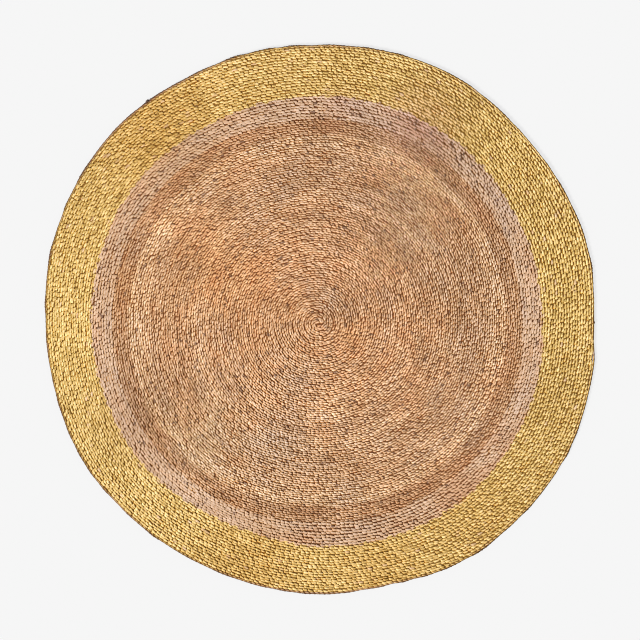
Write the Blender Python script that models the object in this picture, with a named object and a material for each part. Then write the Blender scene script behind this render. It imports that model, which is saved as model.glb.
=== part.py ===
"""Round jute rug: three lengths of flat plait, each stood on edge, coiled and sewn round to round.

The field is a thin natural plait. Around it lie a few rounds of a thicker natural plait, and then the
wide gold-coloured border. Every round of plait stands up as a rib, the rounds wander a little as hand
sewing leaves them, and the rug lies flat on its underside.

Units are metres, +Z is up, and the origin is at the middle of the underside's outline.
"""

from collections import namedtuple
from math import cos, radians, sin, tau

import bmesh
import bpy

RUG_NAME = "round_jute_rug"

# Driving dimensions
THICKNESS = 0.0100          # height of the plait stood on its edge
FURROW_DEPTH = 0.0020       # how far the seam between two rounds lies below their crests
SEAM_GAP = 0.0003           # clearance where one length of plait meets the next
SHARP_ANGLE = radians(80)   # edges bent further than this are drawn sharp, so the ribs look round

# The outermost round is a rounded edge: how far it draws in from its widest line, and how high that is
RIM_SHOULDER_INSET = 0.0010
RIM_SHOULDER_HEIGHT = 0.0082
RIM_WIDEST_HEIGHT = 0.0050
RIM_FOOT_INSET = 0.0016

# Each length of plait: its rounds, how wide one row is, and its colour as sewn (linear red, green, blue)
Plait = namedtuple("Plait", "name rounds row_width colour roughness metallic")
FIELD = Plait("field_coil", 89, 0.00498, (0.527, 0.283, 0.144), 0.85, 0.0)
BAND = Plait("plain_band", 8, 0.00585, (0.539, 0.328, 0.191), 0.85, 0.0)
BORDER = Plait("gold_border", 19, 0.00579, (0.591, 0.376, 0.127), 0.45, 0.6)

FIELD_END = FIELD.rounds * FIELD.row_width
GOLD_START = FIELD_END + BAND.rounds * BAND.row_width
RUG_RADIUS = GOLD_START + BORDER.rounds * BORDER.row_width

# Sides that a round is drawn with, by how far out it lies. Each count is twice the one before it.
Sides = namedtuple("Sides", "within count")
SIDES = (
    Sides(0.010, 6),
    Sides(0.085, 12),
    Sides(0.260, 24),
    Sides(RUG_RADIUS, 48),
)

# How far the rows stand out from a true circle, in millimetres, at the field's end, at the start of the
# gold and at the rim. The rounds are sewn by hand, so they bulge and flatten.
Wander = namedtuple("Wander", "degrees field_end gold_start rim")
WANDERS = (
    Wander(0, 1, -3, -5),
    Wander(15, -1, -3, 0),
    Wander(30, -1, -5, -4),
    Wander(45, -3, -2, -5),
    Wander(60, -2, 1, 2),
    Wander(75, -3, 0, -1),
    Wander(90, -5, -2, -5),
    Wander(105, -5, -3, -2),
    Wander(120, -2, -3, -1),
    Wander(135, 2, 3, 7),
    Wander(150, 4, 5, 7),
    Wander(165, 3, 4, 5),
    Wander(180, 3, 3, -2),
    Wander(195, 4, 1, -3),
    Wander(210, 4, 1, 1),
    Wander(225, 1, -2, -3),
    Wander(240, -1, -10, -7),
    Wander(255, -5, -9, -6),
    Wander(270, -8, -1, -3),
    Wander(285, -4, 2, -4),
    Wander(300, 1, 7, 9),
    Wander(315, 6, 8, 10),
    Wander(330, 7, 6, 10),
    Wander(345, 4, 1, 1),
)
MILLIMETRE = 0.001
FADE_INWARDS = 1.5          # power by which the wander dies away towards the eye

# The rounds aren't quite concentric: where their middle lies at the eye and at the three named radii
Middle = namedtuple("Middle", "x y")
EYE_MIDDLE = Middle(-0.0045, -0.0087)
FIELD_END_MIDDLE = Middle(-0.0045, -0.0042)
GOLD_START_MIDDLE = Middle(-0.0044, -0.0038)
RIM_MIDDLE = Middle(0.0015, 0.0010)


def blend(low, high, share):
    return low + (high - low) * share


def wander_at(column, angle):
    """One column of WANDERS at any angle, in metres: a smooth closed curve through its rows."""
    spacing = tau / len(WANDERS)
    row, share = divmod(angle / spacing, 1.0)
    before, start, end, after = (
        getattr(WANDERS[(int(row) + offset) % len(WANDERS)], column) for offset in (-1, 0, 1, 2)
    )
    start_slope = (end - before) / 2
    end_slope = (after - start) / 2
    left = 1.0 - share
    return MILLIMETRE * (
        start * (1 + 2 * share) * left ** 2
        + end * (1 + 2 * left) * share ** 2
        + start_slope * share * left ** 2
        - end_slope * left * share ** 2
    )


def sewn_place(radius, angle):
    """Where a point of the true coil lies once it is sewn: x and y."""
    if radius <= FIELD_END:
        share = radius / FIELD_END
        wander = wander_at("field_end", angle) * share ** FADE_INWARDS
        inner, outer = EYE_MIDDLE, FIELD_END_MIDDLE
    elif radius <= GOLD_START:
        share = (radius - FIELD_END) / (GOLD_START - FIELD_END)
        wander = blend(wander_at("field_end", angle), wander_at("gold_start", angle), share)
        inner, outer = FIELD_END_MIDDLE, GOLD_START_MIDDLE
    else:
        share = (radius - GOLD_START) / (RUG_RADIUS - GOLD_START)
        wander = blend(wander_at("gold_start", angle), wander_at("rim", angle), share)
        inner, outer = GOLD_START_MIDDLE, RIM_MIDDLE
    x = blend(inner.x, outer.x, share) + (radius + wander) * cos(angle)
    y = blend(inner.y, outer.y, share) + (radius + wander) * sin(angle)
    return x, y


def add_course(bm, radius, height):
    """One closed course of points around the rug, counter-clockwise from above."""
    count = next(sides.count for sides in SIDES if radius <= sides.within)
    angles = (tau * step / count for step in range(count))
    return [bm.verts.new((*sewn_place(radius, angle), height)) for angle in angles]


def loft(bm, course, following):
    """Faces from a course to the following one, which has as many points or twice as many."""
    ratio = len(following) // len(course)
    for step, start in enumerate(course):
        end = course[(step + 1) % len(course)]
        edge = [following[(ratio * step + offset) % len(following)] for offset in range(ratio + 1)]
        if ratio == 1:
            bm.faces.new((start, edge[0], edge[1], end))
        else:
            bm.faces.new((start, edge[0], edge[1]))
            bm.faces.new((start, edge[1], end))
            bm.faces.new((end, edge[1], edge[2]))


def ribs(bm, plait, start):
    """The top of one length of plait: each round's crest, and the furrow between it and the next."""
    courses = []
    for number in range(plait.rounds):
        crest = start + (number + 0.5) * plait.row_width
        courses.append(add_course(bm, crest, THICKNESS))
        if number < plait.rounds - 1:
            furrow = start + (number + 1) * plait.row_width
            courses.append(add_course(bm, furrow, THICKNESS - FURROW_DEPTH))
    return courses


def inner_wall(bm, start):
    """The side of a length of plait that is sewn to the one inside it, from the floor up."""
    radius = start + SEAM_GAP / 2
    return [add_course(bm, radius, height) for height in (0.0, THICKNESS - FURROW_DEPTH)]


def outer_wall(bm, end):
    """The side that the next length of plait is sewn to, from the top down."""
    radius = end - SEAM_GAP / 2
    return [add_course(bm, radius, height) for height in (THICKNESS - FURROW_DEPTH, 0.0)]


def rim_wall(bm):
    """The rug's own edge, rounded as the outermost plait is, from the top down."""
    return [
        add_course(bm, RUG_RADIUS - RIM_SHOULDER_INSET, RIM_SHOULDER_HEIGHT),
        add_course(bm, RUG_RADIUS, RIM_WIDEST_HEIGHT),
        add_course(bm, RUG_RADIUS - RIM_FOOT_INSET, 0.0),
    ]


def make_material(plait):
    material = bpy.data.materials.new(plait.name)
    material.use_nodes = True
    shader = material.node_tree.nodes["Principled BSDF"]
    shader.inputs["Base Color"].default_value = (*plait.colour, 1.0)
    shader.inputs["Roughness"].default_value = plait.roughness
    shader.inputs["Metallic"].default_value = plait.metallic
    return material


def finish_node(bm, plait, collection):
    """The mesh as one named object with its own material."""
    mesh = bpy.data.meshes.new(plait.name)
    bm.to_mesh(mesh)
    bm.free()
    mesh.shade_smooth()
    mesh.set_sharp_from_angle(angle=SHARP_ANGLE)
    mesh.materials.append(make_material(plait))
    node = bpy.data.objects.new(plait.name, mesh)
    collection.objects.link(node)


def make_field(collection):
    """The thin natural plait: a disc that starts as a small knob at the eye."""
    bm = bmesh.new()
    courses = ribs(bm, FIELD, 0.0) + outer_wall(bm, FIELD_END)
    for course, following in zip(courses, courses[1:]):
        loft(bm, course, following)
    bm.faces.new(courses[0])
    bm.faces.new(reversed(courses[-1]))
    finish_node(bm, FIELD, collection)


def make_ring(plait, start, outer_side, collection):
    """A length of plait sewn on around the rounds inside it."""
    bm = bmesh.new()
    courses = inner_wall(bm, start) + ribs(bm, plait, start) + outer_side(bm)
    for course, following in zip(courses, courses[1:] + courses[:1]):
        loft(bm, course, following)
    finish_node(bm, plait, collection)


def clear_scene():
    for item in list(bpy.data.objects):
        bpy.data.objects.remove(item, do_unlink=True)


def main():
    clear_scene()
    rug = bpy.data.collections.new(RUG_NAME)
    bpy.context.scene.collection.children.link(rug)
    make_field(rug)
    make_ring(BAND, FIELD_END, lambda bm: outer_wall(bm, GOLD_START), rug)
    make_ring(BORDER, GOLD_START, rim_wall, rug)


main()
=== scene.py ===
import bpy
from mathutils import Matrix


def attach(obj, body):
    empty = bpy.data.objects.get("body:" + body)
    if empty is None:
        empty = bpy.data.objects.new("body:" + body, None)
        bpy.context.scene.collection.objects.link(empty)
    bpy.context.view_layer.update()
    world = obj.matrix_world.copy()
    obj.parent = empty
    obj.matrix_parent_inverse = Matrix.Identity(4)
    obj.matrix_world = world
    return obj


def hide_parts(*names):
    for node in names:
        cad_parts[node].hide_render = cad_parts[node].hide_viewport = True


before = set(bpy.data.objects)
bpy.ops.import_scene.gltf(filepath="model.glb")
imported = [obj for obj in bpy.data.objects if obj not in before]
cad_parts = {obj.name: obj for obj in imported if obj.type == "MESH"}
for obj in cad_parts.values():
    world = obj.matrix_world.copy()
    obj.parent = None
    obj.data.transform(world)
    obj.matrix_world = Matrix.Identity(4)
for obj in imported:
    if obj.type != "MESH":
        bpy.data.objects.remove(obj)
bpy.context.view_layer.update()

from collections import namedtuple
from math import ceil, cos, radians, sin, sqrt, tan, tau

import bmesh
import bpy
import numpy as np
from bpy.props import FloatProperty, FloatVectorProperty, IntProperty, PointerProperty
from bpy.types import Operator, Panel, PropertyGroup
from mathutils import Vector, noise

bl_info = {
    "name": "Round Jute Rug",
    "version": (1, 0, 0),
    "blender": (4, 5, 0),
    "location": "View3D > Sidebar > Jute Rug",
    "description": "Builds a round rug of coiled jute plait with a gold border, lump by lump",
    "category": "Add Mesh",
}

# ---- The coil: the sizes below are the ones that the rug's solids were built from ----

THICKNESS = 0.0100
FIELD_ROUNDS, FIELD_ROW = 89, 0.00498
BAND_ROUNDS, BAND_ROW = 8, 0.00585
BORDER_ROUNDS, BORDER_ROW = 19, 0.00579
FIELD_END = FIELD_ROUNDS * FIELD_ROW
GOLD_START = FIELD_END + BAND_ROUNDS * BAND_ROW
RUG_RADIUS = GOLD_START + BORDER_ROUNDS * BORDER_ROW
ALL_ROUNDS = FIELD_ROUNDS + BAND_ROUNDS + BORDER_ROUNDS
KNOB_ROUNDS = 0.4           # the coil starts this many rounds out from its own middle
LAST_ANGLE = radians(355)   # where the plait's tail is tucked in, counter-clockwise from +X

# How far the rows stand out from a true circle, in millimetres
Wander = namedtuple("Wander", "degrees field_end gold_start rim")
WANDERS = (
    Wander(0, 1, -3, -5),
    Wander(15, -1, -3, 0),
    Wander(30, -1, -5, -4),
    Wander(45, -3, -2, -5),
    Wander(60, -2, 1, 2),
    Wander(75, -3, 0, -1),
    Wander(90, -5, -2, -5),
    Wander(105, -5, -3, -2),
    Wander(120, -2, -3, -1),
    Wander(135, 2, 3, 7),
    Wander(150, 4, 5, 7),
    Wander(165, 3, 4, 5),
    Wander(180, 3, 3, -2),
    Wander(195, 4, 1, -3),
    Wander(210, 4, 1, 1),
    Wander(225, 1, -2, -3),
    Wander(240, -1, -10, -7),
    Wander(255, -5, -9, -6),
    Wander(270, -8, -1, -3),
    Wander(285, -4, 2, -4),
    Wander(300, 1, 7, 9),
    Wander(315, 6, 8, 10),
    Wander(330, 7, 6, 10),
    Wander(345, 4, 1, 1),
)
MILLIMETRE = 0.001
FADE_INWARDS = 1.5

Middle = namedtuple("Middle", "x y")
EYE_MIDDLE = Middle(-0.0045, -0.0087)
FIELD_END_MIDDLE = Middle(-0.0045, -0.0042)
GOLD_START_MIDDLE = Middle(-0.0044, -0.0038)
RIM_MIDDLE = Middle(0.0015, 0.0010)

# Hand sewing also leaves short waves in the rows
SHORT_WAVE_LENGTH = 0.045
SHORT_WAVE_DEPTH = 0.0010
SHORT_WAVE_SEED = 1         # never 0, which lets the clock choose the waves

PATH_STEPS = 72             # points that a round of the path is drawn with


def blend(low, high, share):
    return low + (high - low) * share


def wander_at(column, angle):
    """One column of WANDERS at any angle, in metres: a smooth closed curve through its rows."""
    spacing = tau / len(WANDERS)
    row, share = divmod(angle / spacing, 1.0)
    before, start, end, after = (
        getattr(WANDERS[(int(row) + offset) % len(WANDERS)], column) for offset in (-1, 0, 1, 2)
    )
    start_slope = (end - before) / 2
    end_slope = (after - start) / 2
    left = 1.0 - share
    return MILLIMETRE * (
        start * (1 + 2 * share) * left ** 2
        + end * (1 + 2 * left) * share ** 2
        + start_slope * share * left ** 2
        - end_slope * left * share ** 2
    )


def sewn_place(radius, angle):
    """Where a point of the true coil lies once it is sewn: x and y."""
    if radius <= FIELD_END:
        share = radius / FIELD_END
        wander = wander_at("field_end", angle) * share ** FADE_INWARDS
        inner, outer = EYE_MIDDLE, FIELD_END_MIDDLE
    elif radius <= GOLD_START:
        share = (radius - FIELD_END) / (GOLD_START - FIELD_END)
        wander = blend(wander_at("field_end", angle), wander_at("gold_start", angle), share)
        inner, outer = FIELD_END_MIDDLE, GOLD_START_MIDDLE
    else:
        share = (radius - GOLD_START) / (RUG_RADIUS - GOLD_START)
        wander = blend(wander_at("gold_start", angle), wander_at("rim", angle), share)
        inner, outer = GOLD_START_MIDDLE, RIM_MIDDLE
    x = blend(inner.x, outer.x, share) + (radius + wander) * cos(angle)
    y = blend(inner.y, outer.y, share) + (radius + wander) * sin(angle)
    return x, y


def row_radius(rounds):
    """Nominal radius of the row's middle after so many rounds of the coil."""
    if rounds <= FIELD_ROUNDS:
        return rounds * FIELD_ROW
    if rounds <= FIELD_ROUNDS + BAND_ROUNDS:
        return FIELD_END + (rounds - FIELD_ROUNDS) * BAND_ROW
    return GOLD_START + (rounds - FIELD_ROUNDS - BAND_ROUNDS) * BORDER_ROW


def coil_angle(rounds):
    return (LAST_ANGLE + (rounds - ALL_ROUNDS) * tau) % tau


GROWTH_WAVES = 4            # a coil grows steadily and steps back once a turn: waves that draw that step


def row_width(rounds):
    if rounds <= FIELD_ROUNDS:
        return FIELD_ROW
    return BAND_ROW if rounds <= FIELD_ROUNDS + BAND_ROUNDS else BORDER_ROW


def coil_place(rounds, aside=0.0):
    """The row's middle after so many rounds, or a point beside it, outwards, with its short waves.

    WANDERS already holds what the coil grows in its last turn, so that growth is taken out here.
    """
    angle = coil_angle(rounds)
    radius = row_radius(rounds)
    growth = sum(sin(wave * (angle - LAST_ANGLE)) / wave for wave in range(1, GROWTH_WAVES + 1)) * 2 / tau
    settled = min(1.0, rounds / FIELD_ROUNDS) ** FADE_INWARDS
    x, y = sewn_place(radius + growth * row_width(rounds) * settled, angle)
    here = Vector((x, y, 0.0)) / SHORT_WAVE_LENGTH
    noise.seed_set(SHORT_WAVE_SEED)
    wave = noise.noise_vector(here) * SHORT_WAVE_DEPTH * min(1.0, radius / SHORT_WAVE_LENGTH)
    return x + wave.x + aside * cos(angle), y + wave.y + aside * sin(angle)


# ---- Patches over which the plait's colour is tinted, lightened or darkened ----

# Shades multiply the plait's colour
Shade = namedtuple("Shade", "red green blue")
RUDDY = Shade(1.01, 0.93, 0.80)
SMOKY = Shade(0.98, 1.06, 1.20)
MAUVE = Shade(0.89, 0.82, 0.92)
GREENISH = Shade(1.00, 1.09, 1.14)
DULL = Shade(0.84, 0.79, 0.72)
BRIGHT = Shade(1.14, 1.18, 1.22)
OCHRE = Shade(0.90, 0.80, 0.62)

Patch = namedtuple("Patch", "x y reach shade share")
PATCHES = (
    Patch(-0.245, 0.120, 0.170, RUDDY, 1.0),
    Patch(-0.430, 0.085, 0.090, RUDDY, 0.9),
    Patch(0.062, -0.034, 0.050, RUDDY, 1.0),
    Patch(0.165, -0.330, 0.100, DULL, 0.5),
    Patch(0.019, 0.044, 0.042, SMOKY, 1.0),
    Patch(-0.055, -0.135, 0.075, SMOKY, 1.0),
    Patch(-0.100, -0.268, 0.100, SMOKY, 1.0),
    Patch(-0.262, -0.245, 0.110, GREENISH, 0.9),
    Patch(0.225, 0.430, 0.130, MAUVE, 1.0),
    Patch(0.050, 0.470, 0.060, MAUVE, 0.6),
    Patch(0.000, 0.410, 0.070, DULL, 0.8),
    Patch(0.040, 0.180, 0.050, DULL, 0.7),
    Patch(-0.010, 0.310, 0.050, DULL, 0.6),
    Patch(-0.014, -0.416, 0.070, DULL, 0.9),
    Patch(0.400, -0.100, 0.070, BRIGHT, 0.9),
    Patch(0.020, -0.190, 0.060, BRIGHT, 0.8),
    Patch(-0.350, 0.205, 0.070, BRIGHT, 0.7),
    Patch(-0.560, 0.010, 0.220, BRIGHT, 0.4),
    Patch(-0.350, 0.420, 0.220, OCHRE, 0.9),
    Patch(-0.150, -0.530, 0.170, OCHRE, 0.8),
    Patch(0.130, -0.540, 0.170, OCHRE, 0.7),
    Patch(0.330, -0.430, 0.150, OCHRE, 0.5),
    Patch(0.550, 0.100, 0.260, BRIGHT, 0.9),
    Patch(0.420, 0.360, 0.130, BRIGHT, 0.5),
    Patch(-0.390, -0.220, 0.170, DULL, 0.9),
    Patch(0.370, -0.190, 0.100, BRIGHT, 0.5),
    Patch(-0.150, 0.040, 0.150, DULL, 0.5),
)


def shade_at(x, y):
    """What the jute's colour is multiplied by at a point of the floor."""
    shade = np.ones(3)
    for patch in PATCHES:
        off = ((x - patch.x) ** 2 + (y - patch.y) ** 2) / patch.reach ** 2
        if off < 1:
            shade *= blend(1.0, np.array(patch.shade), patch.share * (1 - off) ** 2)
    return shade


# ---- Small helpers for meshes and node trees ----

def new_object(name, mesh):
    item = bpy.data.objects.new(name, mesh)
    bpy.context.scene.collection.objects.link(item)
    return item


def discard(*items):
    for item in items:
        mesh = item.data
        bpy.data.objects.remove(item, do_unlink=True)
        bpy.data.meshes.remove(mesh)


def wire(tree, value, socket):
    """Puts a value on a socket, or links another node's output to it."""
    if isinstance(value, bpy.types.NodeSocket):
        tree.links.new(value, socket)
    else:
        socket.default_value = value


def add(tree, kind, inputs=None, **settings):
    """A node with its settings, and its inputs given by name or number."""
    node = tree.nodes.new(kind)
    for name, value in settings.items():
        setattr(node, name, value)
    for key, value in (inputs or {}).items():
        wire(tree, value, node.inputs[key])
    return node


def maths(tree, operation, *values):
    return add(tree, "ShaderNodeMath", dict(enumerate(values)), operation=operation).outputs[0]


def vector_maths(tree, operation, *vectors, output=0):
    node = add(tree, "ShaderNodeVectorMath", dict(enumerate(vectors)), operation=operation)
    return node.outputs[output]


def combined(tree, x=0.0, y=0.0, z=0.0):
    return add(tree, "ShaderNodeCombineXYZ", {"X": x, "Y": y, "Z": z}).outputs[0]


def split(tree, vector):
    return add(tree, "ShaderNodeSeparateXYZ", {0: vector}).outputs


def new_tree(name, inputs):
    """A Geometry Nodes tree with its named inputs, and their sockets inside it."""
    tree = bpy.data.node_groups.new(name, "GeometryNodeTree")
    for label, kind, *default in inputs:
        socket = tree.interface.new_socket(label, in_out="INPUT", socket_type="NodeSocket" + kind)
        if default:
            socket.default_value = default[0]
    tree.interface.new_socket("Geometry", in_out="OUTPUT", socket_type="NodeSocketGeometry")
    return tree, add(tree, "NodeGroupInput").outputs


def end_tree(tree, given, geometry):
    """Makes instances real, gives the result its material and hands it out."""
    real = add(tree, "GeometryNodeRealizeInstances", {"Geometry": geometry}).outputs[0]
    finished = add(
        tree, "GeometryNodeSetMaterial", {"Geometry": real, "Material": given["Material"]}
    ).outputs[0]
    add(tree, "NodeGroupOutput", {"Geometry": finished})
    return tree


def drawn(tree, kind, low, high, seed):
    """A number or a vector drawn by chance for each point."""
    node = add(tree, "FunctionNodeRandomValue", {"Seed": seed}, data_type=kind)
    shape = "VECTOR" if kind == "FLOAT_VECTOR" else "VALUE"
    for name, value in (("Min", low), ("Max", high)):
        wire(tree, value, next(one for one in node.inputs if (one.name, one.type) == (name, shape)))
    return next(one for one in node.outputs if one.type == shape)


def named(tree, name, kind="FLOAT"):
    return add(tree, "GeometryNodeInputNamedAttribute", {"Name": name}, data_type=kind).outputs[0]


def stored(tree, geometry, name, value, kind="FLOAT"):
    return add(
        tree,
        "GeometryNodeStoreNamedAttribute",
        {"Geometry": geometry, "Name": name, "Value": value},
        data_type=kind,
        domain="POINT",
    ).outputs[0]


def moved(tree, geometry, offset):
    return add(tree, "GeometryNodeSetPosition", {"Geometry": geometry, "Offset": offset}).outputs[0]


def copied(tree, points, item, rotation, scale):
    """A copy of an item's mesh on every point."""
    mesh = add(tree, "GeometryNodeObjectInfo", {"Object": item}).outputs["Geometry"]
    return add(
        tree,
        "GeometryNodeInstanceOnPoints",
        {"Points": points, "Instance": mesh, "Rotation": rotation, "Scale": scale},
    ).outputs[0]


def plain_mesh(item, name):
    """The evaluated result of an item's modifiers as a finished object of its own."""
    graph = bpy.context.evaluated_depsgraph_get()
    mesh = bpy.data.meshes.new_from_object(item.evaluated_get(graph))
    mesh.name = name
    discard(item)
    return new_object(name, mesh)


# ---- The plait's lumps, set out along the coil by Geometry Nodes ----

# Each crossing of the plait shows as one slanted lump, as long as the crossings are apart and as wide as
# its row. Its outline is given in halves of that length and width, and is sheared, so that its sides run
# with the row while its ends slant.
Corner = namedtuple("Corner", "along across")
LUMP_OUTLINE = (
    Corner(1.06, 0.00),
    Corner(0.74, 0.95),
    Corner(-0.74, 0.95),
    Corner(-1.06, 0.00),
    Corner(-0.74, -0.95),
    Corner(0.74, -0.95),
)
# Its rings from the floor to the crest: how high each lies and how far its two tips dip, as shares of the
# thickness, how long, wide and sheared it is, as shares of the whole, and how far it reaches from the
# middle of the lump's cell in the colour map.
Ring = namedtuple("Ring", "height dip length width shear reach")
LUMP_RINGS = (
    Ring(0.01, 0.00, 0.00, 0.00, -1.00, 0.00),
    Ring(0.60, 0.00, 1.10, 1.20, 0.90, 1.00),
    Ring(0.82, -0.05, 1.00, 1.00, 0.95, 0.80),
    Ring(0.95, 0.00, 0.84, 0.60, 1.00, 0.50),
    Ring(1.00, 0.00, 0.00, 0.00, 1.00, 0.00),
)
BAKE_MAP = "OFBake"
CELL_REACH = 0.46           # from the middle of a lump's cell to its edge, all but a margin
UNDERSIDE_SHARE = 0.25      # the part of a cell that holds the lump's underside


def make_lump(name, spacing, row_width, slant, relief):
    """One crossing of the plait, standing on the floor with its row along X and the coil's eye at +Y.

    The relief is how deep its creases are, as a share of the ones in LUMP_RINGS.
    """
    bm = bmesh.new()
    sides = len(LUMP_OUTLINE)
    bmesh.ops.create_uvsphere(bm, u_segments=sides, v_segments=len(LUMP_RINGS) - 1, radius=1.0)
    levels = sorted({round(vert.co.z, 3) for vert in bm.verts})
    strand = bm.verts.layers.float_vector.new("strand")
    proud = bm.verts.layers.float.new("proud")
    in_cell = {}
    for vert in bm.verts:
        ring = LUMP_RINGS[levels.index(round(vert.co.z, 3))]
        corner = LUMP_OUTLINE[round(vert.co.xy.angle_signed(Vector((1.0, 0.0)), 0.0) * sides / tau) % sides]
        along = corner.along * ring.length * spacing / 2
        across = corner.across * ring.width * row_width / 2
        height = ring.height - ring.dip * (not corner.across)
        vert[proud] = height
        height = 1 - (1 - height) * relief if ring.width and ring.length else height
        vert[strand] = (along, across, height * THICKNESS)
        in_cell[vert] = vert.co.xy.normalized() * ring.reach * CELL_REACH
        vert.co = (along - across * tan(slant) * ring.shear, across, height * THICKNESS)
    bmesh.ops.recalc_face_normals(bm, faces=bm.faces[:])
    cell_map = bm.loops.layers.uv.new(BAKE_MAP)
    for face in bm.faces:
        face.smooth = True
        under = min(vert.co.z for vert in face.verts) < THICKNESS * LUMP_RINGS[1].height / 2
        for loop in face.loops:
            u, v = in_cell[loop.vert] + Vector((0.5, 0.5))
            loop[cell_map].uv = (u, blend(0, UNDERSIDE_SHARE, v) if under else blend(UNDERSIDE_SHARE, 1, v))
    mesh = bpy.data.meshes.new(name)
    bm.to_mesh(mesh)
    bm.free()
    return new_object(name, mesh)


def make_path(name, first, last):
    """The coil's line from one count of rounds to another, as a chain of points with their radius."""
    count = ceil((last - first) * PATH_STEPS) + 1
    rounds = np.linspace(first, last, count)
    points = [(*coil_place(number), 0.0) for number in rounds]
    mesh = bpy.data.meshes.new(name)
    mesh.from_pydata(points, [(index, index + 1) for index in range(count - 1)], [])
    row = mesh.attributes.new("row", "FLOAT", "POINT")
    row.data.foreach_set("value", [row_radius(number) for number in rounds])
    shade = mesh.attributes.new("shade", "FLOAT_VECTOR", "POINT")
    shade.data.foreach_set("vector", np.ravel([shade_at(x, y) for x, y, _ in points]))
    return new_object(name, mesh)


def lump_tree():
    """Sets a lump at every crossing along a path, each a little unlike the next."""
    tree, given = new_tree("plait lumps", (
        ("Path", "Geometry"),
        ("Lump", "Object"),
        ("Spacing", "Float", 0.0095),
        ("Turn Play", "Float", 0.1),
        ("Tilt Play", "Float", 0.05),
        ("Size Play", "Float", 0.1),
        ("Shift Play", "Float", 0.0003),
        ("Height Play", "Float", 0.03),
        ("Seed", "Int", 1),
        ("Material", "Material"),
    ))
    curve = add(tree, "GeometryNodeMeshToCurve", {"Mesh": given["Path"]}).outputs["Curve"]
    spots = add(
        tree, "GeometryNodeCurveToPoints", {"Curve": curve, "Length": given["Spacing"]}, mode="LENGTH"
    ).outputs

    def play(name, offset):
        """A number drawn for each crossing, from the named input's negative up to it."""
        low = maths(tree, "MULTIPLY", given[name], -1.0)
        return drawn(tree, "FLOAT", low, given[name], maths(tree, "ADD", given["Seed"], offset))

    def share(name, offset):
        return maths(tree, "ADD", play(name, offset), 1.0)

    points = moved(tree, spots["Points"], combined(tree, play("Shift Play", 1), play("Shift Play", 2)))
    draw = drawn(tree, "FLOAT_VECTOR", (0.0, 0.0, 0.0), (1.0, 1.0, 1.0), given["Seed"])
    points = stored(tree, points, "lump", draw, "FLOAT_VECTOR")
    facing = add(
        tree,
        "FunctionNodeAlignRotationToVector",
        {"Vector": spots["Tangent"]},
        axis="X",
        pivot_axis="Z",
    ).outputs[0]
    turn = combined(tree, play("Turn Play", 7), play("Tilt Play", 8), play("Turn Play", 3))
    turned = add(
        tree,
        "FunctionNodeRotateRotation",
        {"Rotation": facing, "Rotate By": turn},
        rotation_space="LOCAL",
    ).outputs[0]
    size = combined(tree, share("Size Play", 4), share("Size Play", 5), share("Height Play", 6))
    return end_tree(tree, given, copied(tree, points, given["Lump"], turned, size))


def run_tree(item, tree, values):
    """Adds the tree to the item as a modifier, with its inputs set by their sockets' identifiers."""
    modifier = item.modifiers.new(tree.name, "NODES")
    modifier.node_group = tree
    sockets = {socket.name: socket.identifier for socket in tree.interface.items_tree
               if socket.in_out == "INPUT"}
    for name, value in values.items():
        modifier[sockets[name]] = value


def spread_cells(mesh, corners_each):
    """Gives every copy in a joined mesh its own square of the colour map."""
    copies = len(mesh.loops) // corners_each
    across = ceil(sqrt(copies))
    layer = mesh.uv_layers[BAKE_MAP].uv
    places = np.empty(len(mesh.loops) * 2, dtype=np.float32)
    layer.foreach_get("vector", places)
    places = places.reshape(copies, corners_each, 2)
    index = np.arange(copies)
    cells = np.stack([index % across, index // across], axis=1)
    places = (places + cells[:, None, :]) / across
    layer.foreach_set("vector", places.astype(np.float32).ravel())


def make_plait(name, first, last, lump, spacing, material, tree, settings, seed):
    """The lumps of one stretch of the coil, as one plain mesh."""
    path = make_path(name + "_path", first, last)
    run_tree(path, tree, {
        "Lump": lump,
        "Spacing": spacing,
        "Turn Play": settings.turn_play,
        "Tilt Play": settings.tilt_play,
        "Size Play": settings.size_play,
        "Shift Play": settings.shift_play,
        "Height Play": settings.height_play,
        "Seed": seed,
        "Material": material,
    })
    piece = plain_mesh(path, name)
    spread_cells(piece.data, len(lump.data.loops))
    return piece


# ---- Materials ----

def mix(tree, factor, first, second, blend_type="MIX"):
    node = add(
        tree,
        "ShaderNodeMix",
        {0: factor, 6: first, 7: second},
        data_type="RGBA",
        blend_type=blend_type,
    )
    return node.outputs[2]


def ranged(tree, value, low, high, to_low=0.0, to_high=1.0):
    return add(
        tree, "ShaderNodeMapRange", {0: value, 1: low, 2: high, 3: to_low, 4: to_high}
    ).outputs[0]


def noised(tree, place, scale, detail=2.0):
    return add(
        tree, "ShaderNodeTexNoise", {"Vector": place, "Scale": scale, "Detail": detail}
    ).outputs["Fac"]


def attribute(tree, name):
    return add(tree, "ShaderNodeAttribute", attribute_name=name)


def object_place(tree):
    return add(tree, "ShaderNodeTexCoord").outputs["Object"]


def new_material(name):
    material = bpy.data.materials.new(name)
    material.use_nodes = True
    return material, material.node_tree, material.node_tree.nodes["Principled BSDF"]


def linear(red, green, blue):
    """A colour as a screen shows it, 0 to 255, as the linear one that shaders take."""
    def one(value):
        value /= 255
        return value / 12.92 if value <= 0.04045 else ((value + 0.055) / 1.055) ** 2.4
    return (one(red), one(green), one(blue), 1.0)


# The field's jute from the eye outwards: how far out a row lies, how light its jute is and how pale, next
# to the field's own colour. It is lighter and paler towards the outside, and rust-brown in the last rows.
FieldRing = namedtuple("FieldRing", "row lightness paleness")
FIELD_RINGS = (
    FieldRing(0.060, 1.00, 0.00),
    FieldRing(0.140, 1.09, 0.00),
    FieldRing(0.217, 1.07, 0.04),
    FieldRing(0.235, 0.98, 0.01),
    FieldRing(0.270, 1.08, 0.07),
    FieldRing(0.290, 0.96, 0.05),
    FieldRing(0.350, 0.97, 0.04),
    FieldRing(0.395, 1.10, 0.12),
    FieldRing(0.405, 1.10, 0.12),
    FieldRing(0.411, 0.84, -0.01),
)

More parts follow.
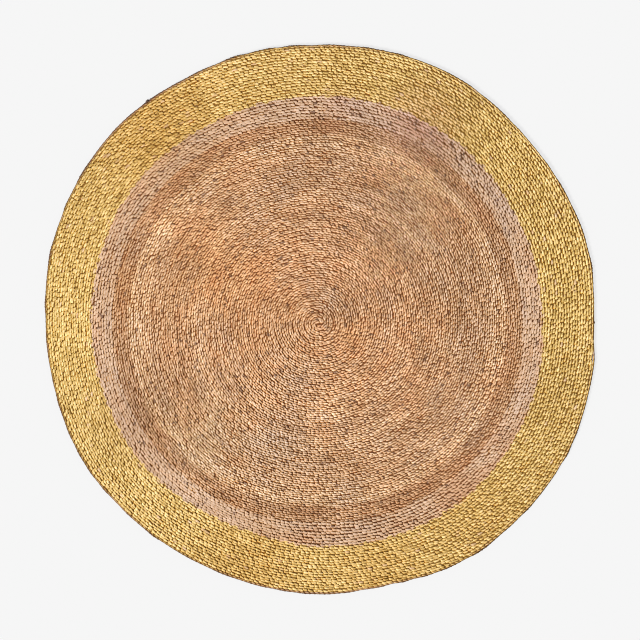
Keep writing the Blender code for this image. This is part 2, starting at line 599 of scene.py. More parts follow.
LUMP_APART = (37.0, 53.0, 71.0)             # moves the noise from one lump to the next
YARNS_ACROSS = 190.0        # noise per metre for the yarns in a strand, across them and along them
YARNS_ALONG = 110.0
FIBRES_ACROSS = 2600.0      # and for the single fibres
FIBRES_ALONG = 160.0
CREASE_LOW = 0.80           # how proud, as a share of the thickness, a crease's painted shade starts and ends
CREASE_HIGH = 0.97
CREASE_GAPS = 0.40          # how much darker the painted shade in a crease is where the plait lies loose
# The darker a fibre, the redder: the powers of a shade that red, green and blue take
JUTE_POWERS = (1.0, 1.36, 1.9)
GOLD_POWERS = (1.0, 1.26, 2.3)
# and the same in a crease, where the light has gone from fibre to fibre
JUTE_CREASE_POWERS = (1.0, 2.8, 7.5)
GOLD_CREASE_POWERS = (1.0, 2.4, 9.0)
PLAIT_PER_AREA = tau / 2 / FIELD_ROW        # metres of plait that a square metre inside a row takes
PALE_CONTRAST = 0.5         # how strong yarns, lumps and creases show in the pale band, next to the field
FIBRE_CONTRAST = 0.10       # how much single fibres differ in brightness
GOLD_LUMP_CONTRAST = 0.11
FIELD_UNEVENNESS, BAND_UNEVENNESS, BARE_UNEVENNESS = 0.07, 0.05, 0.04   # of brightness, over patches
LOW_NOISE, HIGH_NOISE = 0.3, 0.7            # nearly all of a noise lies between these
FIBRE_BUMP = 0.0003


def shaded(tree, colour, value, powers=JUTE_POWERS):
    """The colour made lighter or darker, and redder as it darkens."""
    shades = [maths(tree, "POWER", value, power) for power in powers]
    shade = add(tree, "ShaderNodeCombineColor", dict(enumerate(shades))).outputs[0]
    return mix(tree, 1.0, colour, shade, "MULTIPLY")


def summed(tree, *values):
    total = values[0]
    for value in values[1:]:
        total = maths(tree, "ADD", total, value)
    return total


def scaled(tree, value, strength):
    return maths(tree, "MULTIPLY", value, strength)


def strand_noise(tree, lump, across, along, detail=2.0):
    """Streaks that run with each strand, which lies across its row, different on each lump."""
    strand = attribute(tree, "strand").outputs["Vector"]
    stretched = vector_maths(tree, "MULTIPLY", strand, (across, along, along))
    return noised(tree, vector_maths(tree, "MULTIPLY_ADD", lump, LUMP_APART, stretched), 1.0, detail)


def ring_colours(tree, natural):
    """The field's colour by how far out the row lies: FIELD_RINGS, worked out from its own colour."""
    row = attribute(tree, "row").outputs["Fac"]
    ramp = add(tree, "ShaderNodeValToRGB", {"Fac": maths(tree, "DIVIDE", row, RUG_RADIUS)})
    elements = ramp.color_ramp.elements
    while len(elements) < len(FIELD_RINGS):
        elements.new(1.0)
    for element, ring in zip(elements, FIELD_RINGS):
        element.position = ring.row / RUG_RADIUS
        element.color = (
            *(natural[band] * ring.lightness * (1.0 + band * ring.paleness) for band in range(3)), 1.0
        )
    return ramp.outputs["Color"]


def crease_shade(tree, deepest, contrast=1.0):
    """Painted shade in the creases, how dark it is: deepest where the plait lies loose, in short stretches
    of a row.
    """
    loose = ranged(tree, plait_swing(tree, 0.05, 60.0), 0.45, 1.0, deepest, deepest - CREASE_GAPS * contrast)
    return ranged(tree, attribute(tree, "proud").outputs["Fac"], CREASE_LOW, CREASE_HIGH, loose, 1.0)


def swing(tree, place, scale, detail=2.0):
    """Noise that swings between about -1 and 1."""
    return ranged(tree, noised(tree, place, scale, detail), 0.32, 0.68, -1.0, 1.0)


def plait_swing(tree, metres, offset):
    """What changes along the plait as it was made: it shows as streaks that keep to one row."""
    row = attribute(tree, "row").outputs["Fac"]
    length = maths(tree, "MULTIPLY", maths(tree, "POWER", row, 2.0), PLAIT_PER_AREA / metres)
    return swing(tree, combined(tree, length, offset), 1.0)


def ring_swing(tree, turns, rows, offset):
    """Patches that follow the rows: so many to a turn, and so many rows wide."""
    row = attribute(tree, "row").outputs["Fac"]
    flat = vector_maths(tree, "MULTIPLY", object_place(tree), (1.0, 1.0, 0.0))
    spread = vector_maths(tree, "MULTIPLY", vector_maths(tree, "NORMALIZE", flat), (turns / 2,) * 3)
    up = combined(tree, z=maths(tree, "MULTIPLY_ADD", row, 1.0 / (rows * FIELD_ROW), offset))
    return swing(tree, vector_maths(tree, "ADD", spread, up), 1.0, 3.0)


def lump_draws(tree):
    """The three numbers drawn for each lump, as one vector and apart."""
    lump = attribute(tree, "lump").outputs["Vector"]
    return lump, split(tree, lump)


def grained(tree, grain, contrast):
    """A noise spread evenly to both sides of nothing."""
    return ranged(tree, grain, LOW_NOISE, HIGH_NOISE, -contrast, contrast)


def natural_colour(tree, base, colours, unevenness, contrast):
    """Jute as picked: patches and streaks along the rows, a tint for each lump, yarns and flecks, with
    painted shade in the creases.
    """
    place = object_place(tree)
    lump, draws = lump_draws(tree)
    fibres = strand_noise(tree, lump, FIBRES_ACROSS, FIBRES_ALONG, 3.0)
    yarns = strand_noise(tree, lump, YARNS_ACROSS, YARNS_ALONG)
    base = mix(tree, 1.0, base, attribute(tree, "shade").outputs["Color"], "MULTIPLY")
    value = summed(
        tree,
        1.0,
        scaled(tree, swing(tree, place, 9.0, 4.0), unevenness),
        scaled(tree, ring_swing(tree, 7, 3, 0.0), unevenness),
        scaled(tree, plait_swing(tree, 0.12, 0.0), unevenness * 1.5),
        scaled(tree, ranged(tree, draws["X"], 0.0, 1.0, -1.0, 1.0), colours.lump_contrast * contrast),
        grained(tree, yarns, colours.yarn_contrast * contrast),
        grained(tree, fibres, FIBRE_CONTRAST),
    )
    ruddy = mix(tree, 1.0, base, colours.ruddy, "MULTIPLY")
    smoky = mix(tree, 1.0, base, colours.smoky, "MULTIPLY")
    warmth = summed(
        tree,
        ring_swing(tree, 9, 6, 40.0),
        scaled(tree, plait_swing(tree, 0.2, 9.0), 0.5),
        scaled(tree, swing(tree, place, 7.0), 0.7),
    )
    coloured = mix(tree, ranged(tree, warmth, 0.0, 1.3), base, ruddy)
    coloured = mix(tree, ranged(tree, warmth, 0.0, -1.3), coloured, smoky)
    flecked = maths(tree, "GREATER_THAN", draws["Z"], 1.0 - colours.fleck_share)
    fleck = maths(tree, "MULTIPLY", flecked, ranged(tree, yarns, 0.50, 0.60, 0.0, 0.9))
    coloured = mix(tree, fleck, coloured, colours.fleck)
    coloured = shaded(tree, coloured, value)
    # painted shade: the creases are darkened and reddened in the colour itself
    painted_creases = crease_shade(tree, colours.painted_crease + (1.0 - colours.painted_crease) * (1.0 - contrast), contrast)
    return shaded(tree, coloured, painted_creases, JUTE_CREASE_POWERS), fibres


def bumped(tree, fibres):
    return add(
        tree, "ShaderNodeBump", {"Height": fibres, "Distance": FIBRE_BUMP, "Strength": 0.6}
    ).outputs[0]


def jute_finish(shader, tree, colour, fibres):
    wire(tree, colour, shader.inputs["Base Color"])
    wire(tree, bumped(tree, fibres), shader.inputs["Normal"])
    shader.inputs["Roughness"].default_value = 0.55
    shader.inputs["Specular IOR Level"].default_value = 0.5


def field_material(name, colours):
    material, tree, shader = new_material(name)
    base = ring_colours(tree, colours.natural)
    jute_finish(shader, tree, *natural_colour(tree, base, colours, FIELD_UNEVENNESS, 1.0))
    return material


def band_material(name, colours):
    """The pale band's jute, with gold spilt on the outer edge of its last row."""
    material, tree, shader = new_material(name)
    colour, fibres = natural_colour(tree, colours.pale, colours, BAND_UNEVENNESS, PALE_CONTRAST)
    last = maths(tree, "GREATER_THAN", attribute(tree, "row").outputs["Fac"], GOLD_START - BAND_ROW)
    outside = maths(tree, "LESS_THAN", across_row(tree, BAND_ROW), ragged(tree, -0.9))
    # the spilt gold also gets painted shade in its creases
    spilt = shaded(tree, colours.gold, crease_shade(tree, colours.gold_painted_crease), GOLD_CREASE_POWERS)
    colour = mix(tree, maths(tree, "MULTIPLY", last, outside), colour, spilt)
    jute_finish(shader, tree, colour, fibres)
    return material


# The gold was laid on from above: whole down to one height, and none under the next
Gilt = namedtuple("Gilt", "whole none")
BORDER_GILT = Gilt(0.0062, 0.0045)
RIM_GILT = Gilt(0.0084, 0.0072)
EDGE_START, EDGE_END = -0.5, 0.4            # where painted shade darkens the outermost round's outer side, from its start to its end, in halves of its width
EDGE_PAINTED_SHADE = 0.17           # how bright its outer side is under that painted shade


def ragged(tree, offset):
    """A line that wanders across a row, as a share of the row's half width."""
    drift = noised(tree, object_place(tree), 95.0, 2.0)
    return ranged(tree, drift, 0.34, 0.66, offset - 1.0, offset + 1.0)


def across_row(tree, row_width):
    """Where a point lies across its row, from -1 at the outer side to 1 at the inner one."""
    strand = split(tree, attribute(tree, "strand").outputs["Vector"])
    return maths(tree, "DIVIDE", strand["Y"], row_width / 2)


def gold_material(name, colours, gilt, ragged_edge):
    """Gold colour on jute: bright on the crests, worn through in places, thin in the creases and darker
    there as painted shade.
    """
    material, tree, shader = new_material(name)
    natural, fibres = natural_colour(tree, colours.pale, colours, BARE_UNEVENNESS, PALE_CONTRAST)
    place = object_place(tree)
    lump, draws = lump_draws(tree)
    yarns = strand_noise(tree, lump, YARNS_ACROSS, YARNS_ALONG)
    value = summed(
        tree,
        1.0,
        scaled(tree, swing(tree, place, 7.0, 3.0), 0.05),
        scaled(tree, ring_swing(tree, 7, 4, 80.0), 0.05),
        scaled(tree, plait_swing(tree, 0.15, 30.0), 0.06),
        ranged(tree, draws["X"], 0.0, 1.0, -GOLD_LUMP_CONTRAST, GOLD_LUMP_CONTRAST),
        grained(tree, yarns, colours.yarn_contrast),
        grained(tree, fibres, FIBRE_CONTRAST),
    )
    gold = mix(tree, 1.0, colours.gold, attribute(tree, "shade").outputs["Color"], "MULTIPLY")
    gold = shaded(tree, gold, value, GOLD_POWERS)
    # painted shade in the gold's creases
    gold = shaded(tree, gold, crease_shade(tree, colours.gold_painted_crease), GOLD_CREASE_POWERS)
    bare = ranged(tree, draws["Y"], 0.97, 0.99, 0.0, 0.6)
    worn = ranged(tree, noised(tree, place, 90.0, 3.0), 0.66, 0.74, 0.0, 0.6)
    bare = maths(tree, "MAXIMUM", bare, worn)
    bare = maths(tree, "MAXIMUM", bare, attribute(tree, "bare").outputs["Fac"])
    height = split(tree, place)["Z"]
    bare = maths(tree, "MAXIMUM", bare, ranged(tree, height, gilt.whole, gilt.none))
    if ragged_edge:
        row = attribute(tree, "row").outputs["Fac"]
        first = maths(tree, "LESS_THAN", row, GOLD_START + BORDER_ROW)
        inside = maths(tree, "GREATER_THAN", across_row(tree, BORDER_ROW), ragged(tree, 0.7))
        bare = maths(tree, "MAXIMUM", bare, maths(tree, "MULTIPLY", first, inside))
    else:
        # painted shade: the outermost round's outer side is darkened, natural and gold alike
        outward = attribute(tree, "outward").outputs["Fac"]
        side = ranged(tree, outward, EDGE_START, EDGE_END, 1.0, EDGE_PAINTED_SHADE)
        natural = shaded(tree, natural, side)
        gold = shaded(tree, gold, side, GOLD_POWERS)
    wire(tree, mix(tree, bare, gold, natural), shader.inputs["Base Color"])
    wire(tree, ranged(tree, bare, 0.0, 1.0, 0.15, 0.0), shader.inputs["Metallic"])
    wire(tree, ranged(tree, bare, 0.0, 1.0, 0.62, 0.6), shader.inputs["Roughness"])
    wire(tree, bumped(tree, fibres), shader.inputs["Normal"])
    return material


def ground_material(name, colour):
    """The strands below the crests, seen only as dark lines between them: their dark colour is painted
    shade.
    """
    material, tree, shader = new_material(name)
    place = object_place(tree)
    value = ranged(tree, noised(tree, place, 300.0, 3.0), 0.3, 0.7, 0.7, 1.2)
    shade = add(tree, "ShaderNodeCombineColor", {0: value, 1: value, 2: value}).outputs[0]
    wire(tree, mix(tree, 1.0, colour, shade, "MULTIPLY"), shader.inputs["Base Color"])
    shader.inputs["Roughness"].default_value = 0.9
    return material


# ---- The ground: the body of the plait under its crests, coloured as painted shade ----

GROUND_LOW, GROUND_HIGH = 0.0008, 0.0068
GROUND_STEPS = 144


def make_ground(name, inner, outer, material):
    """A closed flat slab between two of the coil's radii; an inner radius of nothing makes a disc."""
    bm = bmesh.new()
    angles = [tau * step / GROUND_STEPS for step in range(GROUND_STEPS)]

    def course(radius, height):
        return [bm.verts.new((*sewn_place(radius, angle), height)) for angle in angles]

    courses = [course(outer, GROUND_HIGH), course(outer, GROUND_LOW)]
    if inner > 0:
        courses += [course(inner, GROUND_LOW), course(inner, GROUND_HIGH), courses[0]]
    for upper, lower in zip(courses, courses[1:]):
        for step in range(GROUND_STEPS):
            after = (step + 1) % GROUND_STEPS
            bm.faces.new((upper[step], lower[step], lower[after], upper[after]))
    if not inner:
        bm.faces.new(courses[0])
        bm.faces.new(courses[1])
    bmesh.ops.recalc_face_normals(bm, faces=bm.faces[:])
    mesh = bpy.data.meshes.new(name)
    bm.to_mesh(mesh)
    bm.free()
    mesh.materials.append(material)
    return new_object(name, mesh)


# ---- The outermost round, plaited strand by strand ----

STRANDS = 3
STRAND_SIDES = 6
STEPS_A_PERIOD = 10         # points on a strand from one of its crossings to its next
BarePatch = namedtuple("BarePatch", "middle reach share")
BARE_PATCHES = (            # where the gold missed the outermost round, in degrees
    BarePatch(130, 26, 0.85),
    BarePatch(270, 26, 0.80),
    BarePatch(222, 10, 0.60),
    BarePatch(88, 9, 0.45),
)


def rim_bareness(angle):
    """How little gold the outermost round has at an angle."""
    most = 0.0
    for patch in BARE_PATCHES:
        off = abs((angle - radians(patch.middle) + tau / 2) % tau - tau / 2)
        most = max(most, patch.share * (1 - (off / radians(patch.reach)) ** 2))
    return most


Loop = namedtuple("Loop", "angle reach rise")
LOOSE_LOOPS = (             # where the outermost round stands out: in degrees, metres to each side, metres
    Loop(128.5, 0.0050, 0.0030),
    Loop(359.3, 0.0060, 0.0022),
    Loop(77.0, 0.0050, 0.0012),
)
EDGE_WAVE = 0.0011          # how far the outermost round's edge wanders
EDGE_WAVE_LENGTH = 0.024


def loop_rise(angle):
    """How far the outermost round's edge stands out at an angle."""
    rise = 0.0
    for loop in LOOSE_LOOPS:
        off = abs((angle - radians(loop.angle) + tau / 2) % tau - tau / 2) * RUG_RADIUS
        rise = max(rise, loop.rise * (1 - (off / loop.reach) ** 2))
    return rise


def make_strands(name, spacing, settings, seed):
    """The lines of the plait's strands along the coil's last round, as one mesh of chains of points.

    Each strand swings from edge to edge of the plait once a period and from face to face twice.
    """
    draws = np.random.default_rng(seed)
    radius = settings.strand_radius
    swing_up = THICKNESS / 2 - radius
    swing_aside = BORDER_ROW / 2 - radius
    start, end = ALL_ROUNDS - 1, ALL_ROUNDS
    length = (RUG_RADIUS - BORDER_ROW / 2) * tau
    periods = length / (STRANDS * spacing)
    count = round(periods * STEPS_A_PERIOD)
    tail_share = settings.tail / length
    waves = draws.normal(0.0, EDGE_WAVE, ceil(length / EDGE_WAVE_LENGTH) + 2)
    points, edges = [], []
    marks = {key: [] for key in ("row", "bare", "thin", "along")}
    vectors = {key: [] for key in ("lump", "middle", "shade")}
    for strand in range(STRANDS):
        crossings = draws.random((round(periods) + 3, 3))
        for step in range(count + 1):
            share = step / count
            phase = tau * (periods * share + strand / STRANDS)
            left = min(1.0, (1.0 - share) / tail_share)
            rounds = blend(start, end, share)
            middle = coil_place(rounds, -BORDER_ROW / 2 * (1 - left) ** 2)
            wave = np.interp(length * share / EDGE_WAVE_LENGTH, np.arange(len(waves)), waves)
            outward = max(0.0, -sin(2 * phase)) * (wave + loop_rise(coil_angle(rounds)))
            aside = swing_aside * -sin(2 * phase) + outward
            x, y = coil_place(rounds, aside * left - BORDER_ROW / 2 * (1 - left) ** 2)
            if step:
                edges.append((len(points) - 1, len(points)))
            points.append((x, y, THICKNESS / 2 + swing_up * sin(phase) * left))
            marks["row"].append(row_radius(rounds))
            marks["bare"].append(rim_bareness(coil_angle(rounds)))
            marks["thin"].append(blend(0.3, 1.0, left))
            marks["along"].append(length * share)
            vectors["lump"].append(crossings[int(phase / tau)])
            vectors["middle"].append((*middle, THICKNESS / 2))
            vectors["shade"].append(shade_at(*middle))
    mesh = bpy.data.meshes.new(name)
    mesh.from_pydata(points, edges, [])
    for key, values in marks.items():
        mesh.attributes.new(key, "FLOAT", "POINT").data.foreach_set("value", values)
    for key, values in vectors.items():
        flat = np.array(values, dtype=np.float32).ravel()
        mesh.attributes.new(key, "FLOAT_VECTOR", "POINT").data.foreach_set("vector", flat)
    return new_object(name, mesh)


def strand_tree():
    """Gives chains of points a round body, and marks what the materials read."""
    tree, given = new_tree("plait strands", (
        ("Lines", "Geometry"),
        ("Radius", "Float", 0.00185),
        ("Half Width", "Float", 0.0029),
        ("Half Height", "Float", 0.005),
        ("Material", "Material"),
    ))
    curve = add(tree, "GeometryNodeMeshToCurve", {"Mesh": given["Lines"]}).outputs["Curve"]
    ring = add(
        tree, "GeometryNodeCurvePrimitiveCircle", {"Resolution": STRAND_SIDES, "Radius": given["Radius"]}
    ).outputs["Curve"]
    ring = stored(tree, ring, "around", add(tree, "GeometryNodeSplineParameter").outputs["Factor"])
    body = add(
        tree,
        "GeometryNodeCurveToMesh",
        {"Curve": curve, "Profile Curve": ring, "Scale": named(tree, "thin"), "Fill Caps": True},
    ).outputs["Mesh"]
    middle = named(tree, "middle", "FLOAT_VECTOR")
    off = vector_maths(tree, "SUBTRACT", add(tree, "GeometryNodeInputPosition").outputs[0], middle)
    size = combined(tree, given["Half Width"], given["Half Width"], given["Half Height"])
    share = vector_maths(tree, "DIVIDE", off, size)
    body = stored(tree, body, "proud", vector_maths(tree, "LENGTH", share, output="Value"))
    outwards = vector_maths(tree, "NORMALIZE", middle)
    reach = vector_maths(tree, "DOT_PRODUCT", off, outwards, output="Value")
    body = stored(tree, body, "outward", maths(tree, "DIVIDE", reach, given["Half Width"]))
    girth = maths(tree, "MULTIPLY", named(tree, "around"), given["Radius"])
    place = combined(tree, girth, named(tree, "along"), girth)
    body = stored(tree, body, "strand", place, "FLOAT_VECTOR")
    smooth = add(tree, "GeometryNodeSetShadeSmooth", {"Geometry": body}).outputs[0]
    return end_tree(tree, given, smooth)


MAP_STRIPS = 11             # strips of the colour map that each strand is laid out in
STRIP_FILL = 0.94           # how much of its length and of its height a strip takes


def lay_out_strips(mesh, length):
    """Gives long strands a colour map: each is cut to equal strips, laid above each other."""
    corner_vertex = np.empty(len(mesh.loops), dtype=np.int32)
    mesh.loops.foreach_get("vertex_index", corner_vertex)
    starts = np.empty(len(mesh.polygons), dtype=np.int32)
    mesh.polygons.foreach_get("loop_start", starts)
    sizes = np.diff(np.append(starts, len(mesh.loops)))
    along, around = (np.empty(len(mesh.vertices), dtype=np.float32) for _ in range(2))
    mesh.attributes["along"].data.foreach_get("value", along)
    mesh.attributes["around"].data.foreach_get("value", around)
    strand = np.arange(len(mesh.vertices)) * STRANDS // len(mesh.vertices)
    u = along[corner_vertex] / length * MAP_STRIPS
    v = around[corner_vertex]
    strip = np.repeat(np.floor(np.minimum.reduceat(u, starts)).clip(0, MAP_STRIPS - 1), sizes)
    wraps = np.repeat(np.maximum.reduceat(v, starts) - np.minimum.reduceat(v, starts) > 0.5, sizes)
    v = np.where(wraps & (v < 0.5), v + 1.0, v)
    shelf = strand[corner_vertex] * MAP_STRIPS + strip
    places = np.stack(
        [(u - strip) * STRIP_FILL, (shelf + v * STRIP_FILL) / (STRANDS * MAP_STRIPS)], axis=1
    )
    layer = mesh.uv_layers.new(name=BAKE_MAP)
    layer.uv.foreach_set("vector", places.astype(np.float32).ravel())


# ---- Loose fibres ----

FIBRE_BENDS = 4             # straight stretches that a fibre is drawn with
FIBRE_SIDES = 3
FIBRE_RISE = 0.22           # how far a fibre bows up and aside, as shares of its length
FIBRE_SWAY = 0.16
FIBRE_TILT = 0.12           # how far a fibre may dip or roll, in radians
FIBRE_SIZES = (0.5, 1.3)    # the smallest and largest fibre, as shares of the usual one


def make_fibre(name, length, radius):
    """One bowed fibre with its ends tucked in, long way along X."""
    bm = bmesh.new()
    rings = []
    for bend in range(FIBRE_BENDS + 1):
        share = bend / FIBRE_BENDS
        bow = sin(share * tau / 2)
        thin = 0.35 + 0.65 * bow
        middle = Vector((
            length * (share - 0.5),
            length * FIBRE_SWAY * sin(share * tau * 0.8),
            length * FIBRE_RISE * (bow - 0.62),
        ))
        rings.append([
            bm.verts.new(middle + Vector((0.0, cos(turn), sin(turn))) * radius * thin)
            for turn in (tau * side / FIBRE_SIDES for side in range(FIBRE_SIDES))
        ])
    for here, there in zip(rings, rings[1:]):
        for side in range(FIBRE_SIDES):
            after = (side + 1) % FIBRE_SIDES
            bm.faces.new((here[side], here[after], there[after], there[side]))
    bm.faces.new(rings[0])
    bm.faces.new(rings[-1])
    bmesh.ops.recalc_face_normals(bm, faces=bm.faces[:])
    cell_map = bm.loops.layers.uv.new(BAKE_MAP)
    for face in bm.faces:
        face.smooth = True
        for loop in face.loops:
            loop[cell_map].uv = (loop.vert.co.x / length + 0.5, 0.5 + 0.4 * loop.vert.co.z / length)
    mesh = bpy.data.meshes.new(name)
    bm.to_mesh(mesh)
    bm.free()
    return new_object(name, mesh)


def fibre_tree():
    """Strews fibres over a ground's top, each turned and sized by chance."""
    tree, given = new_tree("loose fibres", (
        ("Ground", "Geometry"),
        ("Fibre", "Object"),
        ("Density", "Float", 2000.0),
        ("Lift", "Float", 0.003),
        ("Seed", "Int", 1),
        ("Material", "Material"),
    ))
    up = split(tree, add(tree, "GeometryNodeInputNormal").outputs["Normal"])["Z"]
    points = add(
        tree,
        "GeometryNodeDistributePointsOnFaces",
        {
            "Mesh": given["Ground"],
            "Selection": maths(tree, "GREATER_THAN", up, 0.5),
            "Density": given["Density"],
            "Seed": given["Seed"],
        },
    ).outputs["Points"]

    def chance(kind, low, high, offset):
        return drawn(tree, kind, low, high, maths(tree, "ADD", given["Seed"], offset))

    points = moved(tree, points, combined(tree, z=given["Lift"]))
    draw = chance("FLOAT_VECTOR", (0.0, 0.0, 0.0), (1.0, 1.0, 1.0), 1)
    points = stored(tree, points, "lump", draw, "FLOAT_VECTOR")
    turn = chance("FLOAT_VECTOR", (-FIBRE_TILT, -FIBRE_TILT, 0.0), (FIBRE_TILT, FIBRE_TILT, tau), 2)
    return end_tree(
        tree, given, copied(tree, points, given["Fibre"], turn, chance("FLOAT", *FIBRE_SIZES, 3))
    )


def fibre_material(name, colours):
    """Most fibres are straw, and some are dark bark."""
    material, tree, shader = new_material(name)
    draws = lump_draws(tree)[1]
    dark = ranged(tree, draws["X"], 0.66, 0.76)
    colour = mix(tree, dark, colours.straw, colours.fleck)
    wire(tree, shaded(tree, colour, ranged(tree, draws["Y"], 0.0, 1.0, 0.8, 1.15)),
         shader.inputs["Base Color"])
    shader.inputs["Roughness"].default_value = 0.6
    return material


def stand_for(piece, node):
    """Says what a finished piece rides on and which solid it stands for."""
    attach(piece, "root")
    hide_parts(node)


# ---- What a user may change ----

def length_value(name, description, default):
    return FloatProperty(
        name=name, description=description, default=default, min=0.0, unit="LENGTH", precision=5
    )


def share_value(name, description, default):
    return FloatProperty(
        name=name, description=description, default=default, min=0.0, max=1.2, subtype="FACTOR"
    )


def angle_value(name, description, default):
    return FloatProperty(name=name, description=description, default=default, subtype="ANGLE")


def number_value(name, description, default):
    return FloatProperty(name=name, description=description, default=default, min=0.0)


def colour_value(name, description, default):
    return FloatVectorProperty(
        name=name, description=description, default=default, min=0.0, max=1.0, size=4, subtype="COLOR"
    )


class PlaitSizes(PropertyGroup):
    """How the plait's crossings lie along a row."""

    fine_spacing: length_value(
        "Fine Spacing", "From one crossing to the next in the field's plait", 0.00945
    )
    band_spacing: length_value("Band Spacing", "The same in the pale band's plait", 0.0100)
    border_spacing: length_value("Border Spacing", "The same in the gold border's plait", 0.0108)
    field_relief: share_value(
        "Field Relief", "How deep the field's creases are, as a share of the deepest", 0.84
    )
    band_relief: share_value("Band Relief", "The same for the pale band", 0.36)
    border_relief: share_value("Border Relief", "The same for the gold border", 0.64)
    slant: angle_value(
        "Slant", "How far the creases between crossings are from square to their row", radians(17)
    )
    turn_play: angle_value("Turn Play", "How far a crossing may be turned either way", radians(5))
    tilt_play: angle_value(
        "Tilt Play", "How far one end of a crossing may stand above the other", radians(1.5)
    )
    size_play: share_value(
        "Size Play", "How much longer, wider or smaller than usual a crossing may be", 0.19
    )
    shift_play: length_value("Shift Play", "How far a crossing may stand from its place", 0.0008)
    height_play: share_value(
        "Height Play", "How much higher or lower than usual a crossing may stand", 0.034
    )
    seed: IntProperty(name="Seed", description="Picks the crossings' unevenness", default=7, min=1)


class RimSizes(PropertyGroup):
    """The outermost round, which is plaited strand by strand."""

    strand_radius: length_value("Strand Radius", "Half of a strand's thickness", 0.00185)
    tail: length_value(
        "Tail", "The stretch over which the plait's end thins out and is tucked in", 0.045
    )


class FibreSizes(PropertyGroup):
    """Loose fibres that stand out of the plait."""

    density: number_value("Density", "Fibres on each square metre", 2400.0)
    length: length_value("Length", "A usual fibre's length", 0.014)
    radius: length_value("Radius", "Half of a fibre's thickness", 0.00012)


class JuteColours(PropertyGroup):
    """The jute's colours, and how uneven they are."""

    natural: colour_value("Natural", "The field's colour near the eye", linear(204, 163, 127))
    pale: colour_value("Pale", "The pale band's colour", linear(197, 164, 137))
    gold: colour_value("Gold", "The border's metallic colour", linear(210, 179, 116))
    ruddy: colour_value(
        "Ruddy", "Multiplies the colour where the jute is reddest", (1.0, 0.90, 0.82, 1.0)
    )
    smoky: colour_value(
        "Smoky", "Multiplies the colour where the jute is greyest", (0.90, 0.92, 1.00, 1.0)
    )
    fleck: colour_value("Fleck", "Bark left on the fibres", linear(88, 50, 24))
    # Ground and Gold Ground: the dark colours between the crossings are painted shade
    shaded_ground: colour_value("Ground", "The plait's depths between its crossings", linear(112, 64, 26))
    gold_shaded_ground: colour_value("Gold Ground", "The same for the gold border", linear(126, 88, 24))
    straw: colour_value("Straw", "The loose fibres", linear(214, 176, 132))
    fleck_share: share_value("Flecked", "The share of crossings with a dark fleck", 0.10)
    lump_contrast: share_value(
        "Crossing Contrast", "How much crossings differ from each other in brightness", 0.12
    )
    yarn_contrast: share_value(
        "Yarn Contrast", "How much a crossing's yarns differ from each other", 0.30
    )
    # Crease: how bright the painted shade at the bottom of a crease is, next to a crest
    painted_crease: share_value("Crease", "How bright the bottom of a crease is, next to a crest", 0.86)
    # Gold Crease: the same painted shade for the gold border
    gold_painted_crease: share_value("Gold Crease", "The same for the gold border", 0.90)


PICTURE_MIDDLE = Middle(-0.0008, -0.0014)   # the point of the floor that the picture's middle shows


class StageSettings(PropertyGroup):
    """The floor, the light and the camera."""

    frame_width: length_value("Frame Width", "How much of the floor the picture is wide", 1.3862)
    lens: number_value("Lens", "The camera's focal length in millimetres", 200.0)
    film_softness: number_value(
        "Film Softness", "How many pixels wide a point of the picture is spread", 1.0
    )
    floor: colour_value("Floor", "The floor's colour", (0.12, 0.12, 0.12, 1.0))
    floor_glow: number_value(
        "Floor Glow", "How bright the floor, which is a light table, is by itself", 0.754
    )
    key_strength: number_value(
        "Key Light", "The key light's strength in watts on each square metre", 4.1
    )
    key_side: angle_value(
        "Key Side", "Where the key light comes from, counter-clockwise from +X", radians(220)
    )
    key_height: angle_value("Key Height", "How high the key light stands above the floor", radians(45))
    key_softness: angle_value(
        "Key Softness", "How wide the key light is, as seen from the rug", radians(20)
    )
    fill: number_value("Fill", "How bright the light from all round is", 0.47)


class RugSettings(PropertyGroup):
    """All that the rug's operators read."""

    plait: PointerProperty(type=PlaitSizes)
    rim: PointerProperty(type=RimSizes)
    fibres: PointerProperty(type=FibreSizes)
    colours: PointerProperty(type=JuteColours)
    stage: PointerProperty(type=StageSettings)


# ---- Operators: one for each length of plait, the rim, the fibres and the stage ----

def add_plaits(name, rounds, pieces, spacing, row_width, relief, material, settings, seed):
    """A stretch of the coil in several pieces, split where one lump ends and the next starts."""
    lump = make_lump(name + "_lump", spacing, row_width, settings.slant, relief)
    tree = lump_tree()
    first, last = rounds
    turns = [sqrt(blend(first ** 2, last ** 2, share / pieces)) for share in range(pieces + 1)]
    made = []
    for index, (start, end) in enumerate(zip(turns, turns[1:])):
        label = f"{name}_{index + 1}" if pieces > 1 else name
        made.append(
            make_plait(label, start, end, lump, spacing, material, tree, settings, seed + index)
        )
    discard(lump)
    bpy.data.node_groups.remove(tree)
    return made


class JUTERUG_OT_field(Operator):
    """Coils the fine natural plait from the eye outwards"""

    bl_idname = "jute_rug.field"
    bl_label = "Field"

    def execute(self, context):
        rug = context.scene.jute_rug
        jute = field_material("natural_jute_fibre", rug.colours)
        pieces = add_plaits(
            "field_plait", (KNOB_ROUNDS, FIELD_ROUNDS), 4,
            rug.plait.fine_spacing, FIELD_ROW, rug.plait.field_relief, jute, rug.plait,
            rug.plait.seed,
        )
        shaded_ground = make_ground(
            "field_ground", 0.0, FIELD_END, ground_material("natural_jute_painted_shade", rug.colours.shaded_ground)
        )
        for piece in (shaded_ground, *pieces):
            stand_for(piece, "field_coil")
        return {"FINISHED"}


class JUTERUG_OT_band(Operator):
    """Coils the pale plait between the field and the gold border"""

    bl_idname = "jute_rug.band"
    bl_label = "Pale Band"

    def execute(self, context):
        rug = context.scene.jute_rug
        jute = band_material("pale_jute_fibre", rug.colours)
        pieces = add_plaits(
            "band_plait", (FIELD_ROUNDS, FIELD_ROUNDS + BAND_ROUNDS), 1,
            rug.plait.band_spacing, BAND_ROW, rug.plait.band_relief, jute, rug.plait,
            rug.plait.seed + 100,
        )
        shaded_ground = make_ground(
            "band_ground", FIELD_END, GOLD_START, ground_material("pale_jute_painted_shade", rug.colours.shaded_ground)
        )
        for piece in (shaded_ground, *pieces):
            stand_for(piece, "plain_band")
        return {"FINISHED"}


